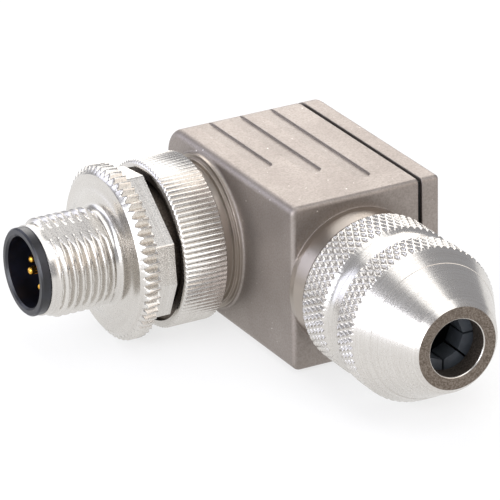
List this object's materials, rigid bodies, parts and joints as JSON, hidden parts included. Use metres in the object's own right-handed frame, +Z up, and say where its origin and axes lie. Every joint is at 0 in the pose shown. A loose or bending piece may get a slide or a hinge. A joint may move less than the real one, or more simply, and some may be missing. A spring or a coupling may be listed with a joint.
{
  "type": "m12 connector",
  "caption": "Right-angled circular sensor connector with a turning coupling screw, knurled union ring, square metal housing, rear cover and knurled cable gland nut.",
  "frame": {"origin": "middle of the coupling thread, on the mating axis", "axes": "+X from the plug's mouth towards the rear cover, -Y towards the cable outlet, +Z up"},
  "size_m": [0.0442, 0.0547, 0.0212],
  "materials": {
    "cast_nickel": "satin",
    "turned_nickel": "gloss",
    "spring_steel": "satin",
    "black_plastic": "satin",
    "grey_plastic": "matte",
    "gold_contact": "gloss",
    "seal_rubber": "matte"
  },
  "bodies": {
    "shell": {"housing": "cast_nickel", "rear_cover": "cast_nickel", "cover_gasket": "seal_rubber", "cover_screws": "spring_steel", "contact_insert": "black_plastic", "insert_base": "black_plastic", "insert_seal": "seal_rubber", "terminal_block": "black_plastic", "terminal_screws": "spring_steel", "contact_pin_1": "gold_contact", "contact_pin_2": "gold_contact", "contact_pin_3": "gold_contact", "contact_pin_4": "gold_contact", "contact_pin_5": "gold_contact", "clamp_cage": "grey_plastic", "cable_seal": "seal_rubber", "shield_ring": "turned_nickel", "gland_seal": "seal_rubber"},
    "coupling": {"coupling_screw": "turned_nickel", "coupling_circlip": "spring_steel"},
    "ring_slide": {"union_ring_washer": "spring_steel"},
    "ring": {"union_ring": "turned_nickel"},
    "nut_slide": {"gland_washer": "spring_steel"},
    "nut": {"gland_nut": "turned_nickel"}
  },
  "joints": [
    {"name": "coupling_spin", "type": "hinge", "parent": "shell", "child": "coupling", "pos_m": [0, 0, 0], "axis": [-1, 0, 0], "continuous": true},
    {"name": "ring_travel", "type": "slide", "parent": "shell", "child": "ring_slide", "axis": [-1, 0, 0], "range_m": [0, 0.0005]},
    {"name": "ring_turn", "type": "hinge", "parent": "ring_slide", "child": "ring", "pos_m": [0.0133, 0, 0], "axis": [-1, 0, 0], "range_deg": [0, 180]},
    {"name": "nut_travel", "type": "slide", "parent": "shell", "child": "nut_slide", "axis": [0, -1, 0], "range_m": [0, 0.006]},
    {"name": "nut_turn", "type": "hinge", "parent": "nut_slide", "child": "nut", "pos_m": [0.0269, -0.03, 0], "axis": [0, -1, 0], "range_deg": [0, 1440]}
  ],
  "couplings": [
    {"joint": "ring_travel", "follows": "ring_turn", "m_per_rad": 0.00015915},
    {"joint": "nut_travel", "follows": "nut_turn", "m_per_rad": 0.00023873}
  ]
}
